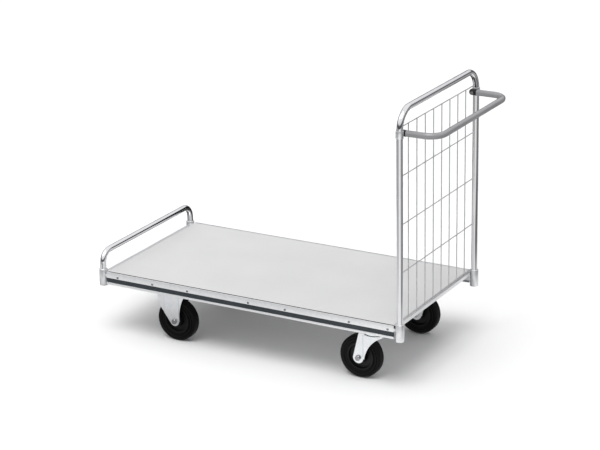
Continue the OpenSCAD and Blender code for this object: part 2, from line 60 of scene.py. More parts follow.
# Studio. The floor's values say how bright it looks to the cart, not to the camera.
SKY_LOW, SKY_HIGH = 0.42, 0.86      # brightness of the surroundings: sides, overhead
KEY = 1.42                          # strength of the key light
CAMERA_SIDE = (0.494, -0.869, 0)    # on the floor, from the cart towards the camera
NEAR_FLOOR = 1.0                    # floor on the camera's side
DARK_FLOOR = 0.40                   # floor to the left and right of that
FAR_FLOOR = 0.05                    # floor behind the cart, as the camera sees it
STRIP = 0.95                        # bright strips along the near side and the push-bar end
PAST_END = 0.4                      # what is left of it well past the push-bar end
HALF_FLOOR = 40.0                   # half the floor's width

# Sizes that the pieces share with the CAD and can't take from its boxes.
TUBE_WALL = 2 * MM
WIRE_R = 1.75 * MM
SOCKET_R = 15.5 * MM
SOCKET_BORE_R = 11.05 * MM
RAIL_SHEET = 3 * MM
RAIL_GROOVE = 5 * MM


# ---------------------------------------------------------------- camera and studio

def aim_camera():
    """A long lens on the cart's near rear corner, seen from a standing height."""
    azimuth, elevation, roll = radians(29.582), radians(19.222), radians(-1.037)
    distance, lens = 7.686, 126.74
    aim = (cad_low + cad_high) / 2 + Vector((0.004, -0.023, -0.069))
    back = Vector((sin(azimuth) * cos(elevation), -cos(azimuth) * cos(elevation),
                   sin(elevation)))
    level = Vector((0, 0, 1)).cross(back).normalized()
    upright = back.cross(level)
    right = cos(roll) * level + sin(roll) * upright
    up = back.cross(right)
    data = bpy.data.cameras.new("camera")
    data.lens = lens
    data.sensor_width = 36
    data.clip_end = 100
    camera = bpy.data.objects.new("camera", data)
    camera.matrix_world = Matrix.Translation(aim + distance * back) @ Matrix(
        (right, up, back)).transposed().to_4x4()
    bpy.context.scene.collection.objects.link(camera)
    bpy.context.scene.camera = camera


def area_light(name, place, target, size, power):
    """A soft rectangular lamp at a place, turned to a target; power in watts."""
    data = bpy.data.lights.new(name, "AREA")
    data.shape = "RECTANGLE"
    data.size, data.size_y = size
    data.energy = power
    light = bpy.data.objects.new(name, data)
    place, target = Vector(place), Vector(target)
    light.matrix_world = Matrix.Translation(place) @ (
        place - target).to_track_quat("Z", "Y").to_matrix().to_4x4()
    bpy.context.scene.collection.objects.link(light)


def light_studio():
    """A sky that is brighter overhead, a broad key high on the camera's side and a small
    fill. Reflections see a dark horizon under a white sky, the camera sees plain white."""
    scene = bpy.context.scene
    scene.view_settings.view_transform = "Standard"
    world = bpy.data.worlds.new("studio")
    world.use_nodes = True
    nodes, links = world.node_tree.nodes, world.node_tree.links
    background = nodes["Background"]
    where = nodes.new("ShaderNodeTexCoord")
    parts = nodes.new("ShaderNodeSeparateXYZ")
    links.new(where.outputs["Generated"], parts.inputs["Vector"])
    mirrored_sky = nodes.new("ShaderNodeValToRGB")
    ramp = mirrored_sky.color_ramp
    ramp.elements[0].position = 0.0
    ramp.elements[0].color = (0.10, 0.10, 0.11, 1)
    ramp.elements[1].position = 0.62
    ramp.elements[1].color = (1.0, 1.0, 1.0, 1)
    for height, level in ((0.22, 0.10), (0.34, 0.80)):
        ramp.elements.new(height).color = (level, level, level * 1.02, 1)
    links.new(parts.outputs["Z"], mirrored_sky.inputs["Fac"])
    ray = nodes.new("ShaderNodeLightPath")
    choose = nodes.new("ShaderNodeMix")
    choose.data_type = "RGBA"
    soft_sky = nodes.new("ShaderNodeValToRGB")
    for at, level in zip(soft_sky.color_ramp.elements, (SKY_LOW, SKY_HIGH)):
        at.color = (level, level, level * 1.01, 1)
    links.new(parts.outputs["Z"], soft_sky.inputs["Fac"])
    links.new(soft_sky.outputs["Color"], choose.inputs["A"])
    links.new(ray.outputs["Is Glossy Ray"], choose.inputs["Factor"])
    links.new(mirrored_sky.outputs["Color"], choose.inputs["B"])
    backdrop = nodes.new("ShaderNodeMix")
    backdrop.data_type = "RGBA"
    backdrop.inputs["B"].default_value = (1, 1, 1, 1)
    links.new(ray.outputs["Is Camera Ray"], backdrop.inputs["Factor"])
    links.new(choose.outputs["Result"], backdrop.inputs["A"])
    links.new(backdrop.outputs["Result"], background.inputs["Color"])
    scene.world = world

    key = bpy.data.lights.new("key", "SUN")
    key.energy = KEY
    key.angle = radians(34)
    key.specular_factor = 0.3
    lamp = bpy.data.objects.new("key", key)
    lamp.matrix_world = Vector((0.08, -0.44, 1.0)).to_track_quat(
        "Z", "Y").to_matrix().to_4x4()
    scene.collection.objects.link(lamp)
    area_light("fill", place=(-1.6, -0.9, 1.9), target=(-0.6, 0.0, 0.25),
               size=(1.6, 1.6), power=5)


def hang_flag(low, high):
    """A black card in the X-Z plane that only shows as a reflection in the chrome."""
    mesh = bpy.data.meshes.new("flag")
    mesh.from_pydata([(low[0], low[1], low[2]), (high[0], high[1], low[2]),
                      (high[0], high[1], high[2]), (low[0], low[1], high[2])], [],
                     [(0, 1, 2, 3)])
    flag = bpy.data.objects.new("flag", mesh)
    bpy.context.scene.collection.objects.link(flag)
    flag.visible_camera = flag.visible_diffuse = flag.visible_shadow = False
    flag.visible_transmission = False
    mat, _, _, shader = new_material("flag_cloth")
    shader.inputs["Base Color"].default_value = (0.004, 0.004, 0.004, 1)
    shader.inputs["Roughness"].default_value = 1.0
    shader.inputs["Specular IOR Level"].default_value = 0.0
    mesh.materials.append(mat)


def floor_glow(nodes, links, where):
    """How bright the floor looks to the cart: a bright sector on the camera's side, two
    bright strips close to the platform, and a darker patch past the push-bar end."""
    unit = nodes.new("ShaderNodeVectorMath")
    unit.operation = "NORMALIZE"
    front = nodes.new("ShaderNodeVectorMath")
    front.operation = "DOT_PRODUCT"
    front.inputs[1].default_value = CAMERA_SIDE
    links.new(where.outputs["Object"], unit.inputs[0])
    links.new(unit.outputs["Vector"], front.inputs[0])
    turn = span(nodes, links, front.outputs["Value"], 0.0, 1.0, -1.0, 1.0)
    sector = nodes.new("ShaderNodeValToRGB")
    for at, level in zip(sector.color_ramp.elements, (FAR_FLOOR, NEAR_FLOOR)):
        at.color = (level, level, level, 1)
    for position, level in ((0.10, FAR_FLOOR), (0.26, DARK_FLOOR), (0.90, DARK_FLOOR),
                            (0.975, NEAR_FLOOR)):
        sector.color_ramp.elements.new(position).color = (level, level, level, 1)
    links.new(turn, sector.inputs["Fac"])
    parts = nodes.new("ShaderNodeSeparateXYZ")
    links.new(where.outputs["Object"], parts.inputs["Vector"])
    shade = sector.outputs["Color"]
    # each strip: the axis it is measured along, where it fades in, where it fades out
    strips = (("Y", (-1.25, -0.9), (-0.60, -0.36)), ("X", (0.60, 0.70), (1.05, 1.30)))
    for way, rise, fall in strips:
        inner = span(nodes, links, parts.outputs[way], 0.0, STRIP, *rise)
        outer = span(nodes, links, parts.outputs[way], 1.0, 0.0, *fall)
        strip = combine(nodes, links, "MULTIPLY", inner, outer)
        shade = combine(nodes, links, "MAXIMUM", shade, strip)
    fade_in = span(nodes, links, parts.outputs["Y"], 0.0, 1.0, -0.9, -0.5)
    fade_out = span(nodes, links, parts.outputs["Y"], 1.0, 0.0, 1.3, 1.8)
    past_end = span(nodes, links, parts.outputs["X"], 0.0, 1.0, 1.25, 1.45)
    across = combine(nodes, links, "MULTIPLY", fade_in, fade_out)
    patch = combine(nodes, links, "MULTIPLY", across, past_end)
    return combine(nodes, links, "MULTIPLY", shade,
                   span(nodes, links, patch, 1.0, PAST_END, 0.0, 1.0))


def lay_floor():
    """A seamless pale floor: matte paper to the camera, a patterned glow to the cart."""
    half = HALF_FLOOR
    mesh = bpy.data.meshes.new("floor")
    mesh.from_pydata([(-half, -half, 0), (half, -half, 0), (half, half, 0),
                      (-half, half, 0)], [], [(0, 1, 2, 3)])
    floor = bpy.data.objects.new("floor", mesh)
    bpy.context.scene.collection.objects.link(floor)
    mat, nodes, links, shader = new_material("floor_paper")
    shader.inputs["Base Color"].default_value = (0.93, 0.93, 0.93, 1)
    shader.inputs["Roughness"].default_value = 0.9
    shader.inputs["Specular IOR Level"].default_value = 0.0
    where = nodes.new("ShaderNodeTexCoord")
    glow = nodes.new("ShaderNodeEmission")
    links.new(floor_glow(nodes, links, where), glow.inputs["Color"])
    ray = nodes.new("ShaderNodeLightPath")
    choose = nodes.new("ShaderNodeMixShader")
    links.new(ray.outputs["Is Camera Ray"], choose.inputs["Fac"])
    links.new(glow.outputs["Emission"], choose.inputs[1])
    links.new(shader.outputs["BSDF"], choose.inputs[2])
    links.new(choose.outputs["Shader"], nodes["Material Output"].inputs["Surface"])
    mesh.materials.append(mat)


# ---------------------------------------------------------------- materials

def new_material(name):
    """A node material, with its nodes, its links and its shader."""
    mat = bpy.data.materials.new(name)
    mat.use_nodes = True
    tree = mat.node_tree
    return mat, tree.nodes, tree.links, tree.nodes["Principled BSDF"]


def noise(nodes, links, scale, detail, stretch=(1, 1, 1), roughness=0.5):
    """Noise value on the object's own coordinates, in cycles per metre."""
    where = nodes.new("ShaderNodeTexCoord")
    mapping = nodes.new("ShaderNodeMapping")
    mapping.inputs["Scale"].default_value = stretch
    texture = nodes.new("ShaderNodeTexNoise")
    texture.inputs["Scale"].default_value = scale
    texture.inputs["Detail"].default_value = detail
    texture.inputs["Roughness"].default_value = roughness
    links.new(where.outputs["Object"], mapping.inputs["Vector"])
    links.new(mapping.outputs["Vector"], texture.inputs["Vector"])
    return texture.outputs["Fac"]


def span(nodes, links, value, low, high, start=0.3, stop=0.7):
    """Maps start..stop of a value to low..high, and keeps it inside that range."""
    ramp = nodes.new("ShaderNodeMapRange")
    ramp.inputs["From Min"].default_value = start
    ramp.inputs["From Max"].default_value = stop
    ramp.inputs["To Min"].default_value = low
    ramp.inputs["To Max"].default_value = high
    links.new(value, ramp.inputs["Value"])
    return ramp.outputs["Result"]


def combine(nodes, links, operation, first, second):
    """One value from two, by a named operation such as MULTIPLY or MAXIMUM."""
    maths = nodes.new("ShaderNodeMath")
    maths.operation = operation
    links.new(first, maths.inputs[0])
    links.new(second, maths.inputs[1])
    return maths.outputs["Value"]


def mix_colours(nodes, links, value, dark, light, start=0.3, stop=0.7):
    """A colour between dark and light, as the value goes from start to stop."""
    ramp = nodes.new("ShaderNodeValToRGB")
    ramp.color_ramp.elements[0].position = start
    ramp.color_ramp.elements[0].color = (*dark, 1)
    ramp.color_ramp.elements[1].position = stop
    ramp.color_ramp.elements[1].color = (*light, 1)
    links.new(value, ramp.inputs["Fac"])
    return ramp.outputs["Color"]


def add_bump(nodes, links, shader, heights):
    """Chains bumps, each (value, depth in metres, strength), into the shader."""
    previous = None
    for value, depth, strength in heights:
        bump = nodes.new("ShaderNodeBump")
        bump.inputs["Distance"].default_value = depth
        bump.inputs["Strength"].default_value = strength
        links.new(value, bump.inputs["Height"])
        if previous:
            links.new(previous, bump.inputs["Normal"])
        previous = bump.outputs["Normal"]
    links.new(previous, shader.inputs["Normal"])


def metal(name, dark, light, rough, spangle, streak=(1, 1, 1), depth=0.00005,
          strength=0.3):
    """Plated or bare metal: cloudy colour, uneven gloss and a fine surface. rough is the
    range of its roughness, spangle the clouds per metre, depth the grain's in metres."""
    mat, nodes, links, shader = new_material(name)
    shader.inputs["Metallic"].default_value = 1.0
    cloud = noise(nodes, links, spangle, 3, streak)
    grain = noise(nodes, links, spangle * 14, 4, streak)
    links.new(mix_colours(nodes, links, cloud, dark, light), shader.inputs["Base Color"])
    links.new(span(nodes, links, grain, *rough), shader.inputs["Roughness"])
    add_bump(nodes, links, shader, [(cloud, depth * 4, strength * 0.5),
                                    (grain, depth, strength)])
    return mat


def plastic(name, dark, light, rough, grain, depth, strength, stretch=(1, 1, 1),
            gloss=0.5):
    """Moulded plastic, rubber or board core with a fine textured surface: grain is per
    metre, depth in metres."""
    mat, nodes, links, shader = new_material(name)
    shader.inputs["Specular IOR Level"].default_value = gloss
    cloud = noise(nodes, links, 9, 4)
    fine = noise(nodes, links, grain, 3, stretch)
    links.new(mix_colours(nodes, links, cloud, dark, light), shader.inputs["Base Color"])
    links.new(span(nodes, links, fine, *rough), shader.inputs["Roughness"])
    add_bump(nodes, links, shader, [(fine, depth, strength)])
    return mat


def laminate():
    """Light grey laminate: a speckle, faint scuffs and a pebbled face."""
    mat, nodes, links, shader = new_material("laminate")
    speckle = noise(nodes, links, 700, 2)
    cloud = noise(nodes, links, 5, 5)
    scuff = noise(nodes, links, 38, 6, (1, 7, 1), 0.65)
    base = mix_colours(nodes, links, speckle, (0.60, 0.60, 0.60), (0.68, 0.68, 0.68),
                       0.35, 0.6)
    tone = nodes.new("ShaderNodeMix")
    tone.data_type = "RGBA"
    tone.blend_type = "MULTIPLY"
    tone.inputs["Factor"].default_value = 1
    links.new(base, tone.inputs["A"])
    links.new(mix_colours(nodes, links, cloud, (0.95, 0.95, 0.95), (1, 1, 1)),
              tone.inputs["B"])
    links.new(tone.outputs["Result"], shader.inputs["Base Color"])
    links.new(span(nodes, links, scuff, 0.42, 0.60), shader.inputs["Roughness"])
    add_bump(nodes, links, shader, [(speckle, 0.00006, 0.3), (scuff, 0.00008, 0.15)])
    return mat


MATERIALS = {
    "tube": metal("chrome_tube", (0.76, 0.76, 0.78), (0.80, 0.80, 0.82), (0.05, 0.09),
                  26, (1, 1, 1), 0.000004, 0.10),
    "zinc": metal("zinc_plate", (0.82, 0.83, 0.85), (0.90, 0.91, 0.92), (0.28, 0.40),
                  70, (1, 1, 1), 0.00002, 0.2),
    "fork": metal("zinc_fork", (0.82, 0.84, 0.86), (0.90, 0.92, 0.94), (0.26, 0.38), 60,
                  (1, 1, 1), 0.00002, 0.2),
    # painted shade: rivets, axle bolts and pivot bolts get a dark base colour that stands
    # in for the shadows round their heads
    "rivet": metal("fastener_with_painted_shade", (0.28, 0.28, 0.29), (0.40, 0.40, 0.41), (0.16, 0.28),
                   160),
    "dull_zinc": metal("dull_zinc", (0.48, 0.49, 0.50), (0.62, 0.63, 0.64),
                       (0.42, 0.60), 50),
    "fastener": metal("bright_fastener", (0.62, 0.62, 0.62), (0.80, 0.80, 0.81),
                      (0.22, 0.36), 160),
    "trim": metal("anodised_trim", (0.74, 0.75, 0.76), (0.86, 0.87, 0.88), (0.28, 0.40),
                  50, (1, 0.05, 1)),
    "wire": metal("zinc_wire", (0.50, 0.50, 0.51), (0.64, 0.64, 0.65), (0.28, 0.44), 90),
    "steel": metal("ground_steel", (0.42, 0.42, 0.42), (0.56, 0.56, 0.56), (0.20, 0.34),
                   120),
    "board": laminate(),
    "board_edge": plastic("board_edge", (0.045, 0.035, 0.030), (0.07, 0.055, 0.045),
                          (0.6, 0.8), 500, 0.0002, 0.5, (1, 1, 8)),
    "bumper": plastic("slate_rubber", (0.020, 0.026, 0.032), (0.032, 0.040, 0.048),
                      (0.50, 0.68), 700, 0.00008, 0.4, (0.1, 1, 1)),
    "tyre": plastic("tyre_rubber", (0.0025, 0.0025, 0.0025), (0.005, 0.005, 0.0045),
                    (0.40, 0.55), 600, 0.00008, 0.3, gloss=0.13),
    "hub": plastic("hub_plastic", (0.004, 0.004, 0.004), (0.008, 0.008, 0.008),
                   (0.36, 0.50), 500, 0.00006, 0.3, gloss=0.25),
    "sleeve": plastic("grey_sleeve", (0.26, 0.26, 0.27), (0.31, 0.31, 0.32),
                      (0.12, 0.20), 1100, 0.00004, 0.25, gloss=0.9),
    "socket": metal("cast_zinc", (0.78, 0.79, 0.80), (0.92, 0.93, 0.94), (0.36, 0.50),
                    50),
    "knuckle": plastic("black_knuckle", (0.006, 0.006, 0.006), (0.012, 0.012, 0.0125),
                       (0.34, 0.46), 900, 0.00006, 0.3, gloss=0.3),
}


# ---------------------------------------------------------------- mesh tools

def mesh_object(name, verts, faces, material):
    """A smooth object with shared points merged and its faces turned outwards."""
    mesh = bpy.data.meshes.new(name)
    mesh.from_pydata([tuple(v) for v in verts], [], faces)
    mesh.validate()
    bm = bmesh.new()
    bm.from_mesh(mesh)
    bmesh.ops.remove_doubles(bm, verts=bm.verts, dist=1e-7)
    bmesh.ops.recalc_face_normals(bm, faces=bm.faces)
    bm.to_mesh(mesh)
    bm.free()
    mesh.materials.append(MATERIALS[material])
    for polygon in mesh.polygons:
        polygon.use_smooth = True
    obj = bpy.data.objects.new(name, mesh)
    bpy.context.scene.collection.objects.link(obj)
    return obj


def arc(centre, radius, start, stop, steps):
    """Points on a circle in a plane, angles in degrees."""
    return [(centre[0] + radius * cos(radians(start + (stop - start) * i / steps)),
             centre[1] + radius * sin(radians(start + (stop - start) * i / steps)))
            for i in range(steps + 1)]


def rounded(outline, radius, steps):
    """An outline with every corner rounded, as far as its sides allow."""
    points = []
    count = len(outline)
    for i in range(count):
        before, here, after = (Vector(outline[j % count]) for j in (i - 1, i, i + 1))
        a, b = before - here, after - here
        cut = min(radius, 0.45 * a.length, 0.45 * b.length)
        p, q = here + a.normalized() * cut, here + b.normalized() * cut
        for k in range(steps + 1):
            t = k / steps
            points.append((1 - t) ** 2 * p + 2 * t * (1 - t) * here + t ** 2 * q)
    return points


def prism(name, outline, place, start, stop, material):
    """Extrudes a 2-D outline; place(a, b, t) gives the 3-D point at depth t."""
    count = len(outline)
    verts = [place(p[0], p[1], t) for t in (start, stop) for p in outline]
    faces = [tuple(range(count)), tuple(range(2 * count - 1, count - 1, -1))]
    faces += [(i, (i + 1) % count, count + (i + 1) % count, count + i)
              for i in range(count)]
    return mesh_object(name, verts, faces, material)


def lathe(name, profile, centre, axis, material, steps):
    """Turns a closed (radius, along) profile round an axis, "Y" or "Z"."""
    turn = {"Z": lambda r, a, s: (r * cos(a), r * sin(a), s),
            "Y": lambda r, a, s: (r * sin(a), s, r * cos(a))}[axis]
    count = len(profile)
    verts, faces = [], []
    for i in range(steps):
        angle = 2 * pi * i / steps
        verts += [Vector(turn(r, angle, s)) + Vector(centre) for r, s in profile]
        for j in range(count):
            k, nxt = (j + 1) % count, ((i + 1) % steps) * count
            faces.append((i * count + j, i * count + k, nxt + k, nxt + j))
    return mesh_object(name, verts, faces, material)


def sweep(name, path, radius, material, sides, wall=0.0):
    """A round bar, or a tube with a wall, along a smooth path in one plane."""
    count = len(path)
    tangents = []
    for i in range(count):
        ahead, behind = path[min(i + 1, count - 1)], path[max(i - 1, 0)]
        tangents.append((Vector(ahead) - Vector(behind)).normalized())
    choices = tangents + [Vector((1, 0, 0)), Vector((0, 1, 0))]
    crosses = [tangents[0].cross(choice) for choice in choices]
    flat = next(cross for cross in crosses if cross.length > 0.1).normalized()
    verts, faces = [], []
    radii = [radius] + ([radius - wall] if wall else [])
    for r in radii:
        base = len(verts)
        for point, tangent in zip(path, tangents):
            side = tangent.cross(flat)
            verts += [Vector(point) + r * (cos(2 * pi * k / sides) * flat
                      + sin(2 * pi * k / sides) * side) for k in range(sides)]
        for i in range(count - 1):
            for k in range(sides):
                a, b = base + i * sides + k, base + i * sides + (k + 1) % sides
                faces.append((a, b, b + sides, a + sides))
    last = (count - 1) * sides
    if wall:
        inner = count * sides
        for end in (0, last):
            for k in range(sides):
                n = (k + 1) % sides
                faces.append((end + k, end + n, inner + end + n, inner + end + k))
    else:
        faces += [tuple(range(sides)), tuple(range(last, last + sides))]
    return mesh_object(name, verts, faces, material)


def join(name, pieces):
    """One object from several of the same material, which it takes the place of."""
    verts, faces, base = [], [], 0
    material = pieces[0].data.materials[0]
    for piece in pieces:
        verts += [v.co.copy() for v in piece.data.vertices]
        faces += [tuple(base + v for v in p.vertices) for p in piece.data.polygons]
        base += len(piece.data.vertices)
        mesh = piece.data
        bpy.data.objects.remove(piece)
        bpy.data.meshes.remove(mesh)
    mesh = bpy.data.meshes.new(name)
    mesh.from_pydata(verts, [], faces)
    mesh.materials.append(material)
    for polygon in mesh.polygons:
        polygon.use_smooth = True
    obj = bpy.data.objects.new(name, mesh)
    bpy.context.scene.collection.objects.link(obj)
    return obj


def smooth_by_angle(obj, angle):
    """Smooth shading, with edges sharper than the angle kept."""
    for polygon in obj.data.polygons:
        polygon.use_smooth = True
    obj.data.set_sharp_from_angle(angle=radians(angle))


def stand_for(obj, node, body):
    """Makes an object the visual form of a CAD node."""
    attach(obj, body)
    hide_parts(node)


def keep_node(name, material, width):
    """A CAD node that stays, with rounded edges and a better material."""
    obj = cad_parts[name]
    obj.data.materials.clear()
    obj.data.materials.append(MATERIALS[material])
    if width:
        weld = obj.modifiers.new("weld", "WELD")
        weld.merge_threshold = 1e-5
        bevel = obj.modifiers.new("bevel", "BEVEL")
        bevel.width = width
        bevel.segments = 2
        bevel.limit_method = "ANGLE"
        bevel.angle_limit = radians(40)
        bevel.use_clamp_overlap = True


# ---------------------------------------------------------------- tube frames

def u_path(half_width, low, high, radius, place, bend_steps=18):
    """Centre line of a U: up one leg, round two bends and down the other."""
    points = [(-half_width, low), (-half_width, high - radius)]
    points += arc((-half_width + radius, high - radius), radius, 180, 90,
                  bend_steps)[1:]
    points += arc((half_width - radius, high - radius), radius, 90, 0, bend_steps)
    points += [(half_width, low)]
    return [place(a, b) for a, b in points]


def end_frame(node, bend_radius, body):
    """A hollow tube bent to a U that stands on its two legs."""
    low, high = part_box(node)
    radius = (high.x - low.x) / 2
    x = (low.x + high.x) / 2
    path = u_path(high.y - radius, low.z, high.z - radius, bend_radius,
                  lambda a, b: Vector((x, a, b)))
    piece = sweep("visual_" + node, path, radius, "tube", 40, TUBE_WALL)
    smooth_by_angle(piece, 50)
    stand_for(piece, node, body)


def wires(node):
    """Welded infill: cross wires, upright wires, and a weld where each cross wire ends."""
    low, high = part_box(node)
    frame_low, frame_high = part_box("tall_frame_tube")
    tube_r = (frame_high.x - frame_low.x) / 2
    post_x, post_y = frame_low.x + tube_r, frame_high.y - tube_r
    x_cross, x_up = low.x + WIRE_R, high.x - WIRE_R
    count_up, count_cross = 8, 5
    edge_pitches = 1.17         # from a post to the first upright wire
    over, sunk = 3 * MM, 0.4 * MM
    pitch = 2 * post_y / (count_up - 1 + 2 * edge_pitches)
    lowest, highest = low.z + over, high.z - over
    reach_y = post_y - sqrt(tube_r ** 2 - (post_x - x_cross) ** 2) - sunk
    weld = [(0.2 * MM, -1.2 * MM), (2.2 * MM, -1.2 * MM), (3.0 * MM, 0.4 * MM),
            (2.2 * MM, 2.4 * MM), (0.2 * MM, 3.2 * MM)]
    pieces = []
    for i in range(count_cross):
        z = lowest + (highest - lowest) * i / (count_cross - 1)
        pieces.append(sweep("cross", [(x_cross, -reach_y, z), (x_cross, reach_y, z)],
                            WIRE_R, "wire", 16))
        for side in (-1, 1):
            profile = [(r, -side * s) for r, s in weld]
            pieces.append(lathe("weld", profile, (x_cross, side * reach_y, z), "Y",
                                "wire", 16))
    for i in range(count_up):
        y = (i - (count_up - 1) / 2) * pitch
        pieces.append(sweep("upright", [(x_up, y, low.z), (x_up, y, high.z)], WIRE_R,
                            "wire", 16))
    piece = join("visual_wire_infill", pieces)
    smooth_by_angle(piece, 50)
    stand_for(piece, node, "tall_frame")


def push_bar():
    """The hollow grey sleeve, a U that lies level."""
    low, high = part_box("push_bar_sleeve")
    radius = (high.z - low.z) / 2
    bend_radius, wall = 55 * MM, 2 * MM
    z = (low.z + high.z) / 2
    path = u_path(high.y - radius, low.x, high.x - radius, bend_radius,
                  lambda a, b: Vector((b, a, z)), 24)
    sleeve = sweep("visual_push_bar_sleeve", path, radius, "sleeve", 40, wall)
    smooth_by_angle(sleeve, 50)
    stand_for(sleeve, "push_bar_sleeve", "push_bar")


# ---------------------------------------------------------------- wheels

def tyre(node, body):
    """Solid rubber tyre: round shoulders, two raised side rings, grooved tread."""
    low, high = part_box(node)
    centre = (low + high) / 2
    r = (high.z - low.z) / 2
    rubber, ring_proud = 28 * MM, 0.9 * MM
    half = (high.y - low.y) / 2 - ring_proud
    rim_r = r - rubber
    side = [(rim_r, half - 3 * MM)]
    inner_ring, outer_ring = rim_r + 1.5 * MM, rim_r + 13 * MM
    side += arc((inner_ring, half - 3.6 * MM), 3.1 * MM, 130, 0, 8)
    side += [(rim_r + 8 * MM, half - 2.6 * MM)]
    side += arc((outer_ring, half - 2.2 * MM), 2.9 * MM, 180, 8, 10)
    side += [(rim_r + 17.5 * MM, half - 1.2 * MM)]
    round_r = 9 * MM
    shoulder = arc((r - round_r, half - round_r), round_r, 84, 0, 10)
    groove_deep, groove_top, groove_foot = 0.8 * MM, 0.9 * MM, 0.5 * MM
    tread = []
    for y in (9.5 * MM, 3.2 * MM):
        tread += [(r, y + groove_top), (r - groove_deep, y + groove_foot),
                  (r - groove_deep, y - groove_foot), (r, y - groove_top)]
    half_profile = side + shoulder + tread
    profile = half_profile + [(a, -b) for a, b in reversed(half_profile)]
    piece = lathe("visual_" + node, profile, centre, "Y", "tyre", 144)
    smooth_by_angle(piece, 35)
    stand_for(piece, node, body)


def build_wheels():
    """Tyres, hubs and bearings of the four wheels."""
    for end in ("front", "rear"):
        for side in ("left", "right"):
            tyre(f"tyre_{end}_{side}", f"wheel_{end}_{side}")
            keep_node(f"hub_{end}_{side}", "hub", 0.0008)
            keep_node(f"bearing_{end}_{side}", "steel", 0.0004)


def fork_beads(end, side, body, beads):
    """Pressed beads beside the flat middle of both fork legs, given as
    (distance behind the axle, lowest, highest) with heights above the axle."""
    low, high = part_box(f"hub_{end}_{side}")
    axle = (low + high) / 2
    bead_r, past_hub = 1.7 * MM, 5 * MM
    leg_face = (high.y - low.y) / 2 + past_hub
    pieces = []
    for x, bottom, top in beads:
        for out in (-1, 1):
            path = [axle + Vector((x, out * leg_face, z)) for z in (bottom, top)]
            pieces.append(sweep("bead", path, bead_r, "fork", 16))
    piece = join(f"visual_fork_beads_{end}_{side}", pieces)
    smooth_by_angle(piece, 50)
    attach(piece, body)


# ---------------------------------------------------------------- platform

def lumps(node):
    """The separate solids of a CAD node, as (low corner, high corner) pairs."""
    bm = bmesh.new()
    bm.from_mesh(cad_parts[node].data)
    bmesh.ops.remove_doubles(bm, verts=bm.verts, dist=1e-6)
    left, found = set(bm.verts), []
    while left:
        queue, group = [left.pop()], []
        while queue:
            vert = queue.pop()
            group.append(vert.co.copy())
            for edge in vert.link_edges:
                other = edge.other_vert(vert)
                if other in left:
                    left.discard(other)
                    queue.append(other)
        found.append((Vector([min(c[i] for c in group) for i in range(3)]),
                      Vector([max(c[i] for c in group) for i in range(3)])))
    bm.free()
    return sorted(found, key=lambda pair: tuple(pair[0]))


def platform_board():
    """Laminate faces with a dark core on the cut edges."""
    keep_node("platform_board", "board", 0.0004)
    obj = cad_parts["platform_board"]
    obj.data.materials.append(MATERIALS["board_edge"])
    for polygon in obj.data.polygons:
        polygon.material_index = 0 if abs(polygon.normal.z) > 0.5 else 1


def side_rail(side):
    """Folded zinc rail: rounded folds, a groove for the bumper and an inward flange."""
    low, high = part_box(f"side_rail_{side}")
    soft_low, soft_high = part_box(f"bumper_{side}")
    out = 1 if side == "right" else -1
    face = max(abs(low.y), abs(high.y))
    sheet, deep, play = RAIL_SHEET, RAIL_GROOVE, 0.2 * MM
    flange, fold_r = high.y - low.y, 1.6 * MM
    top, foot = high.z, low.z
    under, over = soft_low.z - play, soft_high.z + play
    outline = [(0, top), (0, over), (-deep, over), (-deep, under), (0, under), (0, foot),
               (-flange, foot), (-flange, foot + sheet), (-sheet, foot + sheet),
               (-sheet, under - sheet), (-deep - sheet, under - sheet),
               (-deep - sheet, over + sheet), (-sheet, over + sheet), (-sheet, top)]

    def place(a, b, t):
        """Outwards from the rail's face, up, and along the cart."""
        return (t, out * (face + a), b)

    rail = prism(f"visual_side_rail_{side}", rounded(outline, fold_r, 5), place,
                 low.x, high.x, "zinc")
    smooth_by_angle(rail, 40)
    stand_for(rail, f"side_rail_{side}", "chassis")

    strip = bumper_outline(soft_low.z, soft_high.z)
    bumper = prism(f"visual_bumper_{side}", rounded(strip, 0.8 * MM, 3), place,
                   soft_low.x, soft_high.x, "bumper")
    smooth_by_angle(bumper, 50)
    stand_for(bumper, f"bumper_{side}", "chassis")


def bumper_outline(bottom, top):
    """Cross section of the rubber strip, with three ribs along its outer face."""
    back, front = -RAIL_GROOVE, -1.2 * MM
    rib, slope, gap, count = 0.7 * MM, 1.2 * MM, 0.2 * MM, 3
    valley = front - rib
    pitch = (top - bottom) / count
    strip = [(back, bottom), (valley, bottom)]
    for k in range(count):
        start, stop = bottom + k * pitch, bottom + (k + 1) * pitch
        strip += [(front, start + slope), (front, stop - slope)]
        if k < count - 1:
            strip += [(valley, stop - gap), (valley, stop + gap)]
    return strip + [(valley, top), (back, top)]


def rivets():
    """Blind rivets: a domed head with the broken mandrel sunk in its middle."""
    tall, rim, shank = 2.5 * MM, 0.5 * MM, 2.4 * MM
    pieces = []
    for low, high in lumps("rail_rivets"):
        out = 1 if high.y > 0 else -1
        centre = ((low.x + high.x) / 2, high.y if out > 0 else low.y,
                  (low.z + high.z) / 2)
        head = (high.z - low.z) / 2
        length = high.y - low.y
        profile = [(0, -length), (shank, -length), (shank, -tall), (head, -tall),
                   (head, -tall + rim)]
        profile += [(head * cos(radians(a)), -tall + rim + (tall - rim) * sin(radians(a)))
                    for a in (15, 30, 45, 58)]
        profile += [(1.5 * MM, -0.05 * MM), (1.2 * MM, -0.9 * MM), (0, -0.7 * MM)]
        pieces.append(lathe("rivet", [(r, out * s) for r, s in profile], centre, "Y",
                            "rivet", 28))
    piece = join("visual_rail_rivets", pieces)
    smooth_by_angle(piece, 35)
    stand_for(piece, "rail_rivets", "chassis")


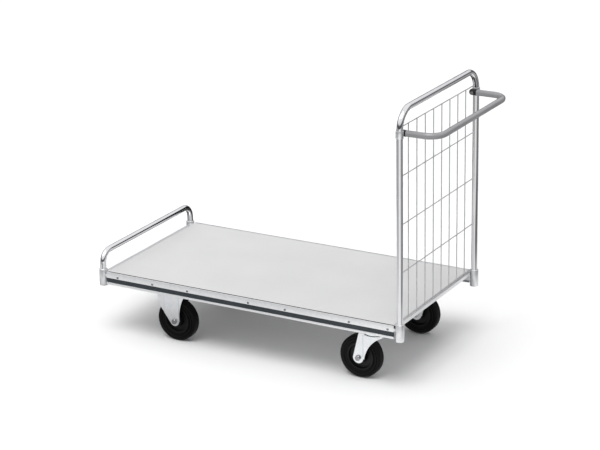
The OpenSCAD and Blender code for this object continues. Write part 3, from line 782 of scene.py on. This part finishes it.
def socket(end, side):
    """Corner socket: chamfered barrel with a bore for the post, and a tab to the rail."""
    node = f"socket_{end}_{side}"
    low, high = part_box(node)
    out = 1 if high.y > 0 else -1
    r = SOCKET_R
    x = low.x + r if end == "front" else high.x - r
    y = out * (max(abs(low.y), abs(high.y)) - r)
    bore, drain, seat = SOCKET_BORE_R, 5 * MM, low.z + 6 * MM
    edge, bevel, lip = 1.4 * MM, 0.42 * MM, 0.8 * MM
    profile = [(drain, low.z), (r - edge, low.z), (r - bevel, low.z + bevel),
               (r, low.z + edge), (r, high.z - edge), (r - bevel, high.z - bevel),
               (r - edge, high.z), (bore + lip, high.z), (bore, high.z - lip),
               (bore, seat), (drain, seat)]
    barrel = lathe("barrel", profile, (x, y, 0), "Z", "socket", 64)
    tab_in, tab_out, overlap = 4 * MM, 7 * MM, 0.9 * r
    start, stop = (x + overlap, high.x) if end == "front" else (low.x, x - overlap)
    tab_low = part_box(f"bumper_{side}")[1].z + RAIL_SHEET + 0.2 * MM
    tab_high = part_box("platform_board")[0].z - 0.5 * MM
    outline = rounded([(tab_in, tab_low), (tab_out, tab_low), (tab_out, tab_high),
                       (tab_in, tab_high)], 0.8 * MM, 3)
    tab = prism("tab", outline, lambda a, b, t: (t, y + out * a, b), start, stop,
                "socket")
    piece = join("visual_" + node, [barrel, tab])
    smooth_by_angle(piece, 40)
    stand_for(piece, node, "chassis")


# ---------------------------------------------------------------- bolts

def hex_head(centre, radius, tall, out):
    """Hexagon head pointing along out * Y, its top corners chamfered in curves."""
    count = 24
    apothem = cos(pi / 6)       # of a hexagon whose corners are 1 from its middle
    chamfer, land_r = 0.18 * radius, 0.82 * radius
    levels = []
    for k in range(count):
        angle = 2 * pi * k / count
        flat = radius * apothem / cos((angle % (pi / 3)) - pi / 6)
        levels.append((angle, flat, (flat / radius - apothem) / (1 - apothem)))
    rings = [[(a, f, 0) for a, f, _ in levels],
             [(a, f, tall - chamfer * (0.15 + 0.85 * c)) for a, f, c in levels],
             [(a, land_r, tall) for a, _, _ in levels]]
    verts = [(centre[0] + f * cos(a), centre[1] + out * h, centre[2] + f * sin(a))
             for ring in rings for a, f, h in ring]
    faces = [tuple(range(count)), tuple(range(2 * count, 3 * count))]
    for level in (0, count):
        faces += [(level + k, level + (k + 1) % count, level + count + (k + 1) % count,
                   level + count + k) for k in range(count)]
    return mesh_object("hex", verts, faces, "rivet")


def axle_bolts(node, body):
    """Hexagon axle bolts, each with its head outboard and a chamfered end."""
    tall, shank, chamfer = 7 * MM, 6 * MM, 1 * MM
    pieces = []
    for low, high in lumps(node):
        out = 1 if high.y > 0 else -1
        head_y, end_y = (high.y, low.y) if out > 0 else (low.y, high.y)
        x, z = (low.x + high.x) / 2, (low.z + high.z) / 2
        seat = head_y - out * tall
        pieces.append(hex_head((x, seat, z), (high.x - low.x) / 2, tall, out))
        length = abs(seat - end_y)
        rod = [(0, 0), (shank, 0), (shank, -length + chamfer),
               (shank - chamfer, -length), (0, -length)]
        pieces.append(lathe("rod", [(r, out * s) for r, s in rod], (x, seat, z), "Y",
                            "rivet", 40))
    piece = join("visual_" + node, pieces)
    smooth_by_angle(piece, 35)
    stand_for(piece, node, body)


# ---------------------------------------------------------------- the cart

aim_camera()
light_studio()
lay_floor()
hang_flag(low=(-0.5, 1.6, 0.12), high=(0.9, 1.6, 1.05))     # beyond the far side
end_frame("tall_frame_tube", bend_radius=72 * MM, body="tall_frame")
end_frame("low_bar_tube", bend_radius=45 * MM, body="low_bar")
wires("wire_infill")
push_bar()
build_wheels()
platform_board()
for side in ("left", "right"):
    side_rail(side)
    for end in ("front", "rear"):
        socket(end, side)
    axle_bolts(f"swivel_axle_bolt_{side}", f"swivel_{side}")
    fork_beads("front", side, "chassis", ((-43 * MM, 34 * MM, 110 * MM),
                                          (18 * MM, 20 * MM, 110 * MM)))
    fork_beads("rear", side, f"swivel_{side}", ((18 * MM, 8 * MM, 89 * MM),))
rivets()
axle_bolts("fixed_axle_bolts", "chassis")

# CAD nodes that stay, by how their names start: material and width of their rounded edges
KEPT = {
    "trim": ("trim", 0.0003), "bearer": ("dull_zinc", 0.0006),
    "end_rail": ("dull_zinc", 0.0006), "fixed_fork": ("fork", 0.0003),
    "swivel_fork": ("fork", 0.0003), "swivel_plate": ("fork", 0.0006),
    "knuckle": ("knuckle", 0.0010), "clamp": ("zinc", 0.0005),
    "caster_bolts": ("fastener", 0.0005), "caster_nuts": ("fastener", 0.0005),
    "fixed_axle_nuts": ("fastener", 0.0005), "swivel_axle_nut": ("fastener", 0.0005),
    "kingpin": ("fastener", 0.0005), "pivot_bolts": ("rivet", 0.0005),
    "fixed_axle_sleeves": ("steel", 0), "swivel_sleeve": ("steel", 0),
    "swivel_balls": ("steel", 0), "push_bar_core": ("steel", 0),
}
for start, (material, width) in KEPT.items():
    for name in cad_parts:
        if name.startswith(start):
            keep_node(name, material, width)
